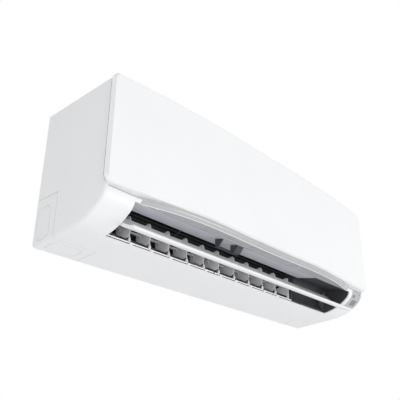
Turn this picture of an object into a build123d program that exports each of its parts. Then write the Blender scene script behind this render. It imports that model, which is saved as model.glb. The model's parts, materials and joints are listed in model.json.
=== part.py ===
"""Indoor unit of a split air conditioner, hung on a wall plate.

X runs along the unit, Y points into the wall and Z points up. The origin is the
centre of the wall plate's back face. All lengths are millimetres and all angles
are degrees. Depths are measured out from the wall, and heights up from the
unit's underside at the wall.
"""
import math
import os

from build123d import *

# ---------------------------------------------------------------- overall size
body_width = 900.0
body_height = 300.0
casing_depth = 214.5
wall = 2.5
seam = 0.4
slip = 0.15

# ------------------------------------------------------------- casing outline
underside_slope = 4.0
belly_radius = 138.0
belly_end_slope = 38.0
chin_radius = 36.0
brow_radius = 18.0
end_rounding = 7.0

# ------------------------------------------------------------------ front panel
panel_overhang = 7.0
panel_crown_bow = 30.5
panel_shoulder_bow = 24.5
panel_shoulder_inset = 157.0
panel_end_bow = 10.5
panel_stand_off = 1.0
panel_bottom_height = 68.0
panel_top_gap = 1.0
panel_wall = 2.5
panel_corner_radius = 14.0
panel_bevel = 4.0
panel_rib_spacing = 150.0
panel_rib_width = 1.6
panel_hinge_drop = 9.0
panel_hinge_setback = 1.5
panel_pin_radius = 2.5
panel_arm_width = 2.5
panel_arm_radius = 4.0
panel_lug_radius = 4.5
panel_lug_width = 8.0
panel_lug_inset = 36.0

# ------------------------------------------------- ledge under the front panel
ledge_end_inset = 74.0
ledge_shoulder_bow = 17.5
ledge_crown_bow = 26.5
ledge_bottom = 55.0
ledge_height = 12.0
ledge_chamfer = 6.0
ledge_shoulder_part = 0.82

# ---------------------------------------------------------- outlet and its flap
cheek_width = 70.0
outlet_top_height = 56.0
outlet_depth = 84.0
lip_band = 9.0
lip_crease = 1.0
lip_overrun = 8.0
flap_thickness = 7.0
flap_gap = 2.5
flap_pivot_setback = 42.0
flap_pivot_height = 25.0
flap_open_angle = 59.0
flap_pin_radius = 2.5
flap_pin_length = 6.0
flap_edge_radius = 2.8
flap_motor_setback = 8.0
flap_motor_rise = 12.0

# ------------------------------------------------------------- duct and scroll
duct_end_gap = 1.5
machine_room = 219.0
floor_setback = 6.5
floor_front_height = 15.1
floor_slope = 28.0
floor_bend_depth = 84.0
scroll_back_depth = 34.0
tongue_depth = 58.0
tongue_height = 172.0
trough_lip = 10.0
back_plate_depth = 12.0
chassis_side_gap = 3.5
chassis_bottom = 5.0
channel_depth = 46.0
channel_height = 70.0
channel_end_room = 18.0
chassis_rim_depth = 1.0
chassis_top_clearance = 3.0

# ----------------------------------------------------------------- fan and motor
fan_depth = 95.0
fan_height = 128.0
fan_radius = 50.0
fan_blade_count = 28
fan_blade_chord = 13.0
fan_blade_sagitta = 2.6
fan_blade_thickness = 1.2
fan_blade_lean = 9.0
fan_disc_thickness = 3.0
fan_bay_count = 3
fan_end_gap = 8.0
fan_hub_radius = 14.0
fan_hub_length = 12.0
shaft_radius = 4.0
shaft_slip = 0.06
bearing_radius = 13.0
bearing_width = 8.0
motor_radius = 42.0
motor_length = 52.0
motor_gap = 10.0
motor_nose_radius = 16.0
motor_nose_length = 6.0
motor_pipe_gap = 8.5
motor_edge_radius = 4.0
cradle_end_gap = 6.0
cradle_front_run = 20.0
cradle_drop = 28.0
clamp_thickness = 3.0
clamp_width = 18.0
clamp_foot = 12.0
clamp_foot_overlap = 8.0

# ------------------------------------------------------------------ heat exchanger
coil_thickness = 27.0
coil_setback = 24.5
coil_front_bottom = 106.0
coil_front_top = 190.0
coil_apex_depth = 112.0
coil_apex_height = 272.0
coil_rear_depth = 38.0
coil_rear_height = 196.0
coil_left_overhang = 7.5
coil_right_overhang = 15.0
coil_plate_thickness = 1.5
coil_gap = 0.3
bend_tube_radius = 3.5
bend_tube_sides = 8
bend_pitch = 36.0
bend_row_gap = 13.0
sensor_radius = 3.0
sensor_length = 26.0
sensor_drop = 30.0
sensor_setback = 21.0
sensor_clip = 8.0

# -------------------------------------------------------------- drain pan and flare
pan_setback = 5.5
pan_front_height = 60.0
pan_floor_run = 57.0
pan_nose_height = 72.0
pan_tongue_run = 61.0
pan_tongue_height = 103.0
pan_wall = 2.5
flare_floor_height = 16.0
brace_x = -70.0
brace_width = 20.0
brace_setback = 2.0
brace_foot_setback = 14.0
brace_run = 24.0
brace_bottom = 45.0
brace_arm_reach = 50.0
brace_arm_width = 3.0

# ------------------------------------------------------------------------- vanes
vanes_per_bank = 5
left_bank_margin = 65.5
right_bank_margin = 62.0
bank_gap = 50.0
end_fin_margin = 8.0
vane_axis_setback = 2.0
vane_nose = 3.0
vane_chord = 45.0
vane_front_bottom = 25.0
vane_rear_bottom = 46.0
vane_rear_top = 70.0
vane_crown = 75.0
vane_thickness = 2.2
vane_corner_radius = 8.0
vane_pin_radius = 2.0
vane_pin_length = 3.5
vane_boss_radius = 3.2
post_height = 23.0
running_gap = 0.08
window_inset = 4.0
window_run = 13.0
window_bottom_height = 53.0
window_top_height = 59.0
window_corner_radius = 2.5
link_crank = 30.0
link_height = 56.0
link_pin_radius = 1.5
link_width = 6.0
link_thickness = 2.5
link_mouth = 2.4
base_end_slope = 42.0
base_thickness = 2.4
base_lift = 0.3
base_nose = 2.0
foot_width = 7.0
foot_gap = 0.2
foot_length = 5.1
foot_bottom = 12.2
stepper_radius = 12.0
stepper_length = 13.0
stepper_ear_reach = 17.0
stepper_ear_height = 6.5
stepper_ear_thickness = 1.5

# ------------------------------------------------------------- electrical parts
box_end_gap = 20.0
box_width = 118.0
box_depth = 96.0
box_height = 190.0
box_bottom = 86.0
box_setback = 8.5
box_wall = 2.0
board_thickness = 1.6
board_stand_off = 4.0
board_side_gap = 3.0
board_lift = 24.0
board_margin = 8.0
transformer_width = 30.0
transformer_height = 34.0
transformer_rise = 26.0
capacitor_radius = 9.0
capacitor_rise = 30.0
relay_count = 3
relay_pitch = 24.0
relay_width = 18.0
relay_height = 12.0
relay_rise = 15.0
terminal_count = 5
terminal_pitch = 15.5
terminal_depth = 22.0
terminal_height = 20.0
terminal_well_radius = 3.0
terminal_well_depth = 8.0
terminal_slot = 8.0
cord_clamp_width = 38.0
cord_clamp_depth = 12.0
cord_clamp_height = 8.0
cord_radius = 4.5
display_width = 44.0
display_end_gap = 10.0
display_reach = 64.0
display_bottom_height = 27.0
display_top_height = 63.0
lamp_count = 4
lamp_radius = 1.8
lamp_pitch = 7.0
lamp_start = 16.0
lamp_tail = 1.5
display_lamp_angle = 76.0
receiver_angle = 62.0
receiver_start = 11.0
receiver_width = 13.0
receiver_height = 7.0
receiver_corner_radius = 3.0
receiver_recess = 0.4
display_board_drop = 7.0
display_board_side_gap = 2.0
display_board_height = 26.0
receiver_can_width = 9.0
receiver_can_height = 8.0
receiver_can_rise = 2.5
button_radius = 5.0
button_proud = 2.0
button_stem = 1.0
button_collar = 1.5
button_collar_thickness = 2.2
button_collar_gap = 0.3
button_end_gap = 118.0
button_height = 108.0

# ------------------------------------------------------ corner covers, knock-outs
left_cover_length = 104.0
right_cover_length = 96.0
cover_bottom_depth = 61.0
cover_side_depth = 66.0
cover_side_height = 97.0
knockout_depth = 42.0
knockout_height = 70.0
knockout_length = 70.0
knockout_radius = 14.0
knockout_groove = 2.0
knockout_groove_depth = 1.2
cover_gap = 0.9
knockout_margin = 8.0

# --------------------------------------------------------------------- filters
filter_thickness = 2.5
filter_frame = 8.0
filter_membrane = 0.6
filter_setback = 5.5
filter_bottom_height = 108.0
filter_shoulder_height = 262.0
filter_shoulder_radius = 24.0
filter_rear_depth = 70.0
filter_rib_count = 3
filter_gap = 6.0
filter_end_gap = 3.0

# ----------------------------------------------------------------- top grille
grille_bar = 5.0
grille_slot = 20.0
grille_setback = 36.5
grille_rear_depth = 34.0
grille_spine = 7.0
grille_end_gap = 45.0

# ------------------------------------------------------------------- wall plate
plate_width = 620.0
plate_height = 156.0
plate_thickness = 1.2
plate_flange = 6.0
plate_hole_radius = 2.6
plate_hole_spacing_x = 500.0
plate_hole_spacing_z = 120.0
plate_relief_radius = 22.0
hook_width = 40.0
hook_spacing = 420.0
hook_rise = 12.0
hook_reach = 11.0

# ---------------------------------------------------------------------- piping
gas_radius = 4.76
liquid_radius = 3.175
gas_height = 33.0
liquid_height = 50.0
drain_height = 16.5
pipe_depth = 28.0
pipe_run = 454.0
gas_start_height = 114.0
gas_drop_depth = 76.0
liquid_start_height = 132.0
liquid_drop_depth = 60.0
pipe_bend_radius = 13.0
gas_union_radius = 7.94
liquid_union_radius = 5.56
union_length = 14.0
union_hex_length = 9.0
drain_radius = 8.0
drain_run = 58.0
drain_reach = 12.0
drain_wall = 1.5
cap_plug_radius = 6.0
cap_plug_length = 9.0
cap_head_radius = 8.0
cap_head_length = 3.0
cap_lift = 6.0

# --------------------------------------------------------------------- fasteners
screw_head_radius = 3.8
screw_head_height = 2.2
screw_shank_radius = 1.9
screw_end_gap = 120.0
screw_height = 82.0

# ---------------------------------------------- sizes that follow from the others
underside = -body_height / 2
half_width = body_width / 2
outlet_half_width = half_width - cheek_width
duct_left = -outlet_half_width + duct_end_gap
duct_right = half_width - machine_room
chassis_half_width = half_width - wall - chassis_side_gap
outlet_lip_depth = casing_depth - outlet_depth
flap_pivot_depth = casing_depth - flap_pivot_setback
floor_front_depth = outlet_lip_depth - floor_setback
vane_axis_depth = floor_front_depth - vane_axis_setback
vane_front_depth = vane_axis_depth + vane_nose
vane_rear_depth = vane_front_depth - vane_chord
window_rear_depth = vane_rear_depth + window_inset
window_front_depth = window_rear_depth + window_run
link_depth = vane_axis_depth - link_crank
foot_front_depth = outlet_lip_depth - foot_gap
foot_rear_depth = foot_front_depth - foot_length
pan_front_depth = casing_depth - pan_setback
pan_nose_depth = pan_front_depth - pan_floor_run
pan_tongue_depth = pan_front_depth - pan_tongue_run
coil_front_depth = casing_depth - coil_setback
coil_left = duct_left - coil_left_overhang
coil_right = duct_right + coil_right_overhang
filter_front_depth = casing_depth - filter_setback
filter_left = coil_left + filter_end_gap
filter_right = coil_right - filter_end_gap
filter_middle = (filter_left + filter_right) / 2
grille_front_depth = casing_depth - grille_setback
grille_half_width = half_width - grille_end_gap
bank_steps = vanes_per_bank - 1
vane_room = duct_right - duct_left - left_bank_margin - right_bank_margin - bank_gap
vane_pitch = vane_room / (2 * bank_steps)
left_bank_start = duct_left + left_bank_margin
right_bank_start = duct_right - right_bank_margin - bank_steps * vane_pitch
end_fin_x = duct_right - end_fin_margin
motor_left = duct_right + wall + motor_gap
pipe_drop_x = motor_left + motor_length + motor_pipe_gap
pipe_end_x = pipe_drop_x - pipe_run
channel_right = pipe_drop_x + channel_end_room
drain_bend_x = duct_right + 2 * drain_radius - 1
drain_end_x = drain_bend_x - drain_run
box_left = half_width - box_end_gap - box_width
box_front_depth = casing_depth - box_setback
display_right = half_width - display_end_gap
display_left = display_right - display_width
button_x = half_width - button_end_gap
screw_spacing = half_width - screw_end_gap
hook_top = (body_height + plate_height) / 2 + hook_rise
hinge_depth = casing_depth - panel_hinge_setback
hinge_height = body_height - panel_hinge_drop
panel_half_length = half_width + panel_overhang
panel_back = casing_depth + panel_stand_off
panel_shoulder_x = panel_half_length - panel_shoulder_inset
panel_crown = casing_depth + panel_crown_bow
panel_shoulder = casing_depth + panel_shoulder_bow
panel_end = casing_depth + panel_end_bow
ledge_half_length = half_width - ledge_end_inset
ledge_shoulder = casing_depth + ledge_shoulder_bow
ledge_crown = casing_depth + ledge_crown_bow


def spot(depth, height):
    """A point of a side view, from its depth off the wall and its height."""
    return (-depth, underside + height)


def slab(x0, x1, depth0, depth1, height0, height1):
    """A block between two x values, two depths and two heights."""
    size = (x1 - x0, abs(depth1 - depth0), height1 - height0)
    centre = ((x0 + x1) / 2, -(depth0 + depth1) / 2, underside + (height0 + height1) / 2)
    return Pos(*centre) * Box(*size)


def along_x(face, x0, x1):
    """A side-view face drawn out along the unit from x0 to x1."""
    return extrude(Plane.YZ.offset(x0) * face, amount=x1 - x0)


def rod_x(x0, x1, depth, height, radius):
    """A round bar along the unit."""
    centre = Pos((x0 + x1) / 2, -depth, underside + height)
    return centre * Rot(0, 90, 0) * Cylinder(radius, x1 - x0)


def rod_y(x, depth0, depth1, height, radius):
    """A round bar that points at the wall."""
    centre = Pos(x, -(depth0 + depth1) / 2, underside + height)
    return centre * Rot(90, 0, 0) * Cylinder(radius, abs(depth1 - depth0))


def rod_z(x, depth, height0, height1, radius):
    """An upright round bar."""
    centre = Pos(x, -depth, underside + (height0 + height1) / 2)
    return centre * Cylinder(radius, height1 - height0)


# ------------------------------------------------------------ casing side outline
slope = math.radians(underside_slope)
belly_end = math.radians(belly_end_slope)
chin_centre_y = -(casing_depth - chin_radius)
belly_centre_y = chin_centre_y + (belly_radius - chin_radius) * math.sin(belly_end)
belly_start_depth = belly_radius * math.sin(slope) - belly_centre_y
belly_centre_z = belly_start_depth * math.tan(slope) + belly_radius * math.cos(slope)
chin_centre_z = belly_centre_z - (belly_radius - chin_radius) * math.cos(belly_end)


def belly(angle, inset=0.0):
    """A point on the belly arc, where the skin's slope is angle."""
    radius = belly_radius - inset
    y = belly_centre_y - radius * math.sin(angle)
    return (y, underside + belly_centre_z - radius * math.cos(angle))


def chin(angle, inset=0.0):
    """A point on the tighter chin arc that runs up to the front."""
    radius = chin_radius - inset
    y = chin_centre_y - radius * math.sin(angle)
    return (y, underside + chin_centre_z - radius * math.cos(angle))


def casing_outline(inset=0.0, rear=0.0):
    """The closed side outline of the casing, moved in by inset."""
    front = -casing_depth + inset
    top = underside + body_height - inset
    brow = brow_radius - inset
    rear_low = (rear, underside + inset / math.cos(slope) - rear * math.tan(slope))
    belly_low = belly(slope, inset)
    belly_mid = belly((slope + belly_end) / 2, inset)
    belly_high = belly(belly_end, inset)
    chin_mid = chin((belly_end + math.pi / 2) / 2, inset)
    chin_high = chin(math.pi / 2, inset)
    brow_low = (front, top - brow)
    brow_mid = (front + brow * (1 - math.cos(math.pi / 4)), top - brow * (1 - math.sin(math.pi / 4)))
    brow_high = (front + brow, top)
    edges = [
        Line(rear_low, belly_low),
        ThreePointArc(belly_low, belly_mid, belly_high),
        ThreePointArc(belly_high, chin_mid, chin_high),
        Line(chin_high, brow_low),
        ThreePointArc(brow_low, brow_mid, brow_high),
        Line(brow_high, (rear, top)),
        Line((rear, top), rear_low),
    ]
    return make_face(edges)


def casing_blank():
    """The whole moulded shell, open at the wall, before anything is cut."""
    body = along_x(casing_outline(), -half_width, half_width)
    ends = [e for e in body.edges() if abs(abs(e.center().X) - half_width) < 0.01]
    body = fillet([e for e in ends if e.center().Y < -0.01], end_rounding)
    hollow = along_x(casing_outline(wall, rear=wall), -half_width + wall, half_width - wall)
    return body - hollow


def cover_zone(side, length, grow=0.0):
    """The space of one rear corner cover: a strip of the side and of the underside."""
    outer = half_width + wall
    inner = half_width - length - grow
    skin = half_width - 2 * wall
    bottom = slab(inner, outer, -wall, cover_bottom_depth + grow, -wall, 3.2 * wall)
    flank = slab(skin, outer, -wall, cover_side_depth + grow, -wall, cover_side_height + grow)
    zone = bottom + flank
    if side < 0:
        zone = mirror(zone, about=Plane.YZ)
    return zone


def knockout_line(width, height):
    """A rounded closed line, as a thin face, for a knock-out's groove."""
    outer = RectangleRounded(width, height, knockout_radius)
    inset = 2 * knockout_groove
    inner = RectangleRounded(width - inset, height - inset, knockout_radius - knockout_groove)
    return outer - inner


def pipe_cover(shell, side, length):
    """A corner cover, cut from the shell, with its two knock-out outlines."""
    cover = shell & cover_zone(side, length)
    flank = Plane.YZ.offset(side * half_width) * Pos(
        -knockout_margin - knockout_depth / 2, underside + knockout_margin + knockout_height / 2
    )
    line = flank * knockout_line(knockout_depth, knockout_height)
    cover -= extrude(line, amount=knockout_groove_depth, both=True)
    middle = -knockout_margin - knockout_depth / 2
    sole_z = underside - middle * math.tan(slope)
    sole = Pos(side * (half_width - 2 * knockout_margin - knockout_length / 2), middle, sole_z)
    tilt = Rot(-underside_slope, 0, 0)
    line = sole * tilt * knockout_line(knockout_length, knockout_depth)
    return cover - extrude(line, amount=knockout_groove_depth, both=True)


def outlet_cut():
    """The air outlet, between its upper edge and its lower lip."""
    return slab(
        -outlet_half_width, outlet_half_width,
        outlet_lip_depth, casing_depth + wall, -wall, outlet_top_height,
    )


def lip_groove():
    """The fine crease behind the outlet's lower lip, square across the underside."""
    depth = outlet_lip_depth - lip_band
    height = depth * math.tan(slope)
    half = outlet_half_width + lip_overrun
    return Pos(0, -depth, underside + height) * Rot(45, 0, 0) * Box(2 * half, lip_crease, lip_crease)


def grille_slots():
    """Two rows of slots across the top, either side of a spine."""
    middle = (grille_front_depth + grille_rear_depth) / 2
    pitch = grille_bar + grille_slot
    count = int(2 * grille_half_width / pitch)
    start = -(count - 1) * pitch / 2
    half = grille_slot / 2
    slots = []
    for index in range(count):
        x = start + index * pitch
        for near, far in ((grille_rear_depth, middle - grille_spine / 2),
                          (middle + grille_spine / 2, grille_front_depth)):
            slots.append(slab(x - half, x + half, near, far, body_height - 2 * wall, body_height + wall))
    return slots


def panel_lugs():
    """Two lugs at the brow whose bores hold the front panel's pins."""
    lugs = []
    for side in (-1, 1):
        x = side * (half_width - panel_lug_inset)
        half = panel_lug_width / 2
        lug = rod_x(x - half, x + half, hinge_depth, hinge_height, panel_lug_radius)
        root = slab(
            x - half, x + half, casing_depth - brow_radius, hinge_depth,
            hinge_height - panel_lug_radius, hinge_height,
        )
        lugs.append(lug + root)
    return lugs


def display_zone(grow=0.0):
    """The space that the display window takes in the right-hand cheek."""
    return slab(
        display_left - grow, display_right + grow, casing_depth - display_reach, casing_depth + wall,
        display_bottom_height - grow, display_top_height + grow,
    )


def front_windows():
    """The two openings in front of the filters, behind the panel."""
    windows = []
    half = filter_gap / 2
    for x0, x1 in ((filter_left, filter_middle - half), (filter_middle + half, filter_right)):
        windows.append(slab(
            x0 + filter_frame, x1 - filter_frame,
            casing_depth - 2 * wall, casing_depth + wall,
            filter_bottom_height + filter_frame, filter_shoulder_height,
        ))
    return windows


def front_casing(shell):
    """The main moulded shell: sides, brow, chin, underside and top grille."""
    body = shell - cover_zone(-1, left_cover_length, cover_gap)
    body -= cover_zone(1, right_cover_length, cover_gap)
    body -= outlet_cut()
    body -= display_zone(seam)
    body = body.cut(*front_windows(), *grille_slots(), lip_groove())
    body = body.fuse(*panel_lugs(), cheek_web(-1, wall / 2), casing_ledge())
    body = body.cut(*panel_arm_pockets(), flap_pin_bore(-1), flap_pin_bore(1))
    for side in (-1, 1):
        x = side * (half_width - panel_lug_inset)
        bore = panel_pin_radius + running_gap
        body -= rod_x(x - panel_lug_width, x + panel_lug_width, hinge_depth, hinge_height, bore)
    behind = casing_depth - 2 * wall
    for x in (-screw_spacing, 0, screw_spacing):
        body -= rod_y(x, behind, casing_depth + wall, screw_height, screw_shank_radius + slip)
    bore = button_radius + running_gap
    return body - rod_y(button_x, behind, casing_depth + wall, button_height, bore)


# -------------------------------------------------------------------- front panel
def panel_plan(inset=0.0, back=panel_back):
    """The panel seen from above: straight at the back and bowed at the front."""
    end = panel_half_length - inset
    crown = -panel_crown + inset
    shoulder = -panel_shoulder + inset
    corner = -panel_end + inset
    left = (-panel_shoulder_x, shoulder)
    right = (panel_shoulder_x, shoulder)
    bow = Spline((-end, corner), left, (0, crown), right, (end, corner))
    rest = Polyline((end, corner), (end, -back), (-end, -back), (-end, corner))
    return make_face([bow, *rest.edges()])


def panel_block(inset=0.0, back=panel_back):
    """The bowed block that the panel is made from, with its rounded corners."""
    low = underside + panel_bottom_height + inset
    height = body_height - panel_top_gap - panel_bottom_height - 2 * inset
    block = extrude(Plane.XY.offset(low) * panel_plan(inset, back), amount=height)
    face = RectangleRounded(2 * (panel_half_length - inset), height, panel_corner_radius - inset)
    frame = Plane.XZ.offset(back) * Pos(0, low + height / 2) * face
    return block & extrude(frame, amount=panel_crown)


def front_panel():
    """The hinged front: a shallow bowed tray with a bevelled rim, ribs and hinge arms."""
    block = panel_block()
    front = [e for e in block.edges() if e.center().Y < -panel_back - panel_bevel]
    front = [e for e in front if e.length > panel_corner_radius]
    tray = chamfer(front, panel_bevel) - panel_block(panel_wall, panel_back - wall)
    hollow = panel_block(panel_wall - seam, panel_back)
    ribs = []
    for step in (-2, -1, 1, 2):
        x = step * panel_rib_spacing
        rib = slab(x, x + panel_rib_width, casing_depth + 3 * wall, panel_crown, 0, body_height)
        ribs.append(rib & hollow)
    arms = []
    for side in (-1, 1):
        lug_end = half_width - panel_lug_inset + panel_lug_width / 2 + seam
        x0, x1 = sorted((side * lug_end, side * (lug_end + panel_arm_width)))
        arm = rod_x(x0, x1, hinge_depth, hinge_height, panel_arm_radius)
        reach = slab(x0, x1, hinge_depth, panel_crown,
                     hinge_height - panel_arm_radius, hinge_height + panel_arm_radius)
        arms.append(arm + (reach & panel_block(seam, hinge_depth)))
        p0, p1 = sorted((side * lug_end, side * (lug_end - panel_lug_width - seam)))
        arms.append(rod_x(p0, p1, hinge_depth, hinge_height, panel_pin_radius))
    return tray.fuse(*ribs, *arms)


def panel_arm_pockets():
    """Clearance slots in the brow, beside the lugs, for the panel's hinge arms."""
    pockets = []
    for side in (-1, 1):
        lug_end = half_width - panel_lug_inset + panel_lug_width / 2
        x0, x1 = sorted((side * lug_end, side * (lug_end + panel_arm_width + 2 * seam)))
        pockets.append(rod_x(x0, x1, hinge_depth, hinge_height, panel_arm_radius + 2 * seam))
    return pockets


def casing_ledge():
    """The bowed ledge of the chin, under the panel, with its creased front."""
    back = -casing_depth + wall
    shoulder_x = ledge_shoulder_part * ledge_half_length
    front = -casing_depth
    bow = Spline(
        (-ledge_half_length, front), (-shoulder_x, -ledge_shoulder), (0, -ledge_crown),
        (shoulder_x, -ledge_shoulder), (ledge_half_length, front),
    )
    rest = Polyline(
        (ledge_half_length, front), (ledge_half_length, back),
        (-ledge_half_length, back), (-ledge_half_length, front),
    )
    plan = make_face([bow, *rest.edges()])
    block = extrude(Plane.XY.offset(underside + ledge_bottom) * plan, amount=ledge_height)
    low = [e for e in block.edges() if e.center().Z < underside + ledge_bottom + slip]
    block = chamfer([e for e in low if e.center().Y < front - wall], ledge_chamfer)
    return block - Pos(0, wall, wall) * block


# --------------------------------------------------------------------------- flap
def flap_closed():
    """The flap as it lies when shut, its outside flush with the casing."""
    band = casing_outline() - casing_outline(flap_thickness, rear=flap_thickness)
    rear_depth = outlet_lip_depth + flap_gap
    top_height = outlet_top_height - 2 * flap_gap
    section = band & slab_face(rear_depth, casing_depth + wall, -wall, top_height)
    rear, top = spot(rear_depth, top_height)
    corners = [v for v in section.vertices() if v.X > rear - 0.01 or v.Y > top - 0.01]
    section = fillet(corners, flap_edge_radius)
    leaf = along_x(section, -outlet_half_width + flap_gap, outlet_half_width - flap_gap)
    for side in (-1, 1):
        inner = side * (outlet_half_width - 2 * flap_gap)
        outer = side * (outlet_half_width + flap_pin_length)
        low, high = sorted((inner, outer))
        leaf += rod_x(low, high, flap_pivot_depth, flap_pivot_height, flap_pin_radius)
    return leaf


def slab_face(depth0, depth1, height0, height1):
    """A rectangle in side view."""
    corner = spot(depth0, height0)
    far = spot(depth1, height1)
    return Pos((corner[0] + far[0]) / 2, (corner[1] + far[1]) / 2) * Rectangle(
        abs(far[0] - corner[0]), abs(far[1] - corner[1])
    )


def main_flap():
    """The flap in its open pose, swung about its pins."""
    y, z = spot(flap_pivot_depth, flap_pivot_height)
    return Pos(0, y, z) * Rot(flap_open_angle, 0, 0) * Pos(0, -y, -z) * flap_closed()


def flap_pin_bore(side):
    """The bearing hole for one of the flap's pins."""
    inner = side * (outlet_half_width - wall)
    outer = side * (outlet_half_width + flap_pin_length + wall)
    x0, x1 = sorted((inner, outer))
    return rod_x(x0, x1, flap_pivot_depth, flap_pivot_height, flap_pin_radius + running_gap)


def cheek_web(side, inset):
    """The wall that closes the outlet's end, with the boss for the flap's pin."""
    top = pan_nose_height + 2 * wall
    corners = [spot(floor_front_depth + 4, 0), spot(floor_front_depth + 4, floor_front_height),
               spot(pan_nose_depth - 4 * wall, top), spot(casing_depth, top), spot(casing_depth, 0)]
    region = make_face(Polyline(*corners, close=True)) & casing_outline(inset)
    x0, x1 = sorted((side * outlet_half_width, side * (outlet_half_width + wall)))
    b0, b1 = sorted((side * outlet_half_width, side * (outlet_half_width + flap_pin_length + 2 * seam)))
    boss = rod_x(b0, b1, flap_pivot_depth, flap_pivot_height, flap_pin_radius + wall)
    return along_x(region, x0, x1) + (boss & along_x(casing_outline(inset), b0, b1))


# ---------------------------------------------------------------- chassis and duct
floor_angle = math.radians(floor_slope)
floor_bend_height = floor_front_height + (floor_front_depth - floor_bend_depth) * math.tan(floor_angle)
scroll_radius = (floor_bend_depth - scroll_back_depth) / (1 - math.sin(floor_angle))
scroll_centre_depth = scroll_back_depth + scroll_radius
scroll_centre_height = floor_bend_height + scroll_radius * math.cos(floor_angle)


def floor_height(depth):
    """Height of the duct floor's straight front part, at a depth."""
    return floor_front_height + (floor_front_depth - depth) * math.tan(floor_angle)


def floor_spot(depth, rise=0.0):
    """A point over the duct floor's straight part, lifted square to it by rise."""
    y, z = spot(depth, floor_height(depth))
    return (y - rise * math.sin(floor_angle), z + rise * math.cos(floor_angle))


def scroll_spot(angle, rise=0.0):
    """A point over the scroll where its slope is angle, lifted square to it by rise."""
    y, z = spot(scroll_centre_depth, scroll_centre_height)
    radius = scroll_radius - rise
    return (y + radius * math.sin(angle), z - radius * math.cos(angle))


def floor_line(depth, angle, rise=0.0):
    """The duct floor from a depth near its front, back to where its slope is angle."""
    bend = floor_spot(floor_bend_depth, rise)
    middle = scroll_spot((floor_angle + angle) / 2, rise)
    return [Line(floor_spot(depth, rise), bend), ThreePointArc(bend, middle, scroll_spot(angle, rise))]


def scroll_line():
    """The middle of the duct floor's wall and of the scroll behind the fan."""
    back = scroll_spot(math.pi / 2)
    tongue = spot(tongue_depth, tongue_height)
    return [*floor_line(floor_front_depth, math.pi / 2), TangentArc(back, tongue, tangent=(0, 1))]


def scroll_shell():
    """The scroll and the drain trough behind the coil, as one wall."""
    trough = Polyline(
        spot(tongue_depth + 2, tongue_height + trough_lip),
        spot(tongue_depth, tongue_height),
        spot(back_plate_depth + wall / 2, tongue_height - 2),
    )
    section = trace([*scroll_line(), *trough.edges()], wall)
    return along_x(section, duct_left - wall, duct_right + wall)


def duct_wall(x0):
    """One end wall of the duct, that also carries the coil's end."""
    back = back_plate_depth + wall / 2
    front = coil_front_depth - coil_thickness / 2
    corners = [
        spot(back, floor_front_height), spot(back, tongue_height),
        spot(tongue_depth - wall, tongue_height),
        spot(tongue_depth - 2 * wall, coil_rear_height - 2 * wall),
        spot(coil_apex_depth, coil_apex_height - coil_thickness + wall),
        spot(front, coil_front_top - 2 * wall), spot(front, coil_front_bottom),
        spot(pan_tongue_depth - wall, pan_tongue_height), spot(floor_front_depth, floor_front_height),
    ]
    return along_x(make_face(Polyline(*corners, close=True)), x0, x0 + wall)


def motor_cradle():
    """The bed that the fan motor rests in."""
    x0 = motor_left + cradle_end_gap
    x1 = motor_left + motor_length - cradle_end_gap
    block = slab(x0, x1, back_plate_depth + wall / 2, fan_depth + cradle_front_run,
                 channel_height + wall, fan_height - cradle_drop)
    return block - rod_x(motor_left, motor_left + motor_length, fan_depth, fan_height, motor_radius)


def pipe_hole(height, radius):
    """A hole in the channel's wall for one pipe."""
    return rod_y(pipe_drop_x, channel_depth - wall, channel_depth + 2 * wall, height, radius + 2 * seam)


def hook_catches():
    """Two ledges with turned-down lips that hang over the wall plate's hooks."""
    catches = []
    top = hook_top + seam
    for side in (-1, 1):
        x0 = side * hook_spacing / 2 - hook_width / 2 - 2
        x1 = x0 + hook_width + 4
        behind = hook_reach - 3 * plate_thickness
        ledge = slab(x0, x1, back_plate_depth + wall / 2, behind, top, top + wall)
        lip = slab(x0, x1, behind, hook_reach - plate_thickness - seam,
                   top - hook_rise + 2 * plate_thickness, top + wall)
        catches.append(ledge + lip)
    return catches


def rear_housing():
    """The dark chassis: back plate, rim, pipe channel, scroll, end walls and motor bed."""
    top = body_height - wall - chassis_top_clearance
    half = chassis_half_width
    face = back_plate_depth + wall
    back = slab(-half, half, back_plate_depth, face, chassis_bottom, top)
    rim = slab(-half, half, chassis_rim_depth, face, chassis_bottom, top)
    rim -= slab(-half + wall, half - wall, 0, face, chassis_bottom + wall, top - wall)
    body = back + rim + scroll_shell()
    body += duct_wall(duct_left - wall)
    body += duct_wall(duct_right)
    body -= slab(-half_width, channel_right, 0, channel_depth, -wall, channel_height)
    shelf = slab(-chassis_half_width, channel_right + wall, back_plate_depth, channel_depth + wall,
                 channel_height, channel_height + wall)
    front = slab(-chassis_half_width, channel_right + wall, channel_depth, channel_depth + wall,
                 chassis_bottom + 1, channel_height + wall)
    side = slab(channel_right, channel_right + wall, back_plate_depth, channel_depth + wall,
                chassis_bottom + 1, channel_height)
    bearing_seat = rod_x(duct_left - 2 * wall - bearing_width, duct_left - wall, fan_depth, fan_height,
                         bearing_radius + wall)
    bearing_seat -= rod_x(duct_left - 3 * wall - bearing_width, duct_left - wall,
                          fan_depth, fan_height, bearing_radius)
    body = body.fuse(shelf, front, side, bearing_seat, motor_cradle(), *hook_catches())
    body -= rod_x(duct_left - 2 * wall, duct_left + wall, fan_depth, fan_height, shaft_radius + wall)
    body -= rod_x(duct_right - wall, duct_right + 2 * wall, fan_depth, fan_height, fan_hub_radius + wall)
    body -= pipe_hole(gas_height, gas_radius)
    body -= pipe_hole(liquid_height, liquid_radius)
    body -= rod_y(drain_bend_x, channel_depth - wall, channel_depth + 2 * wall,
                  drain_height, drain_radius + seam)
    for height, x in ((link_height, duct_left - wall), (link_height, duct_right)):
        body -= rod_x(x - wall, x + 2 * wall, link_depth, height, vane_pin_radius + 2 * seam)
    return body


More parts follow.
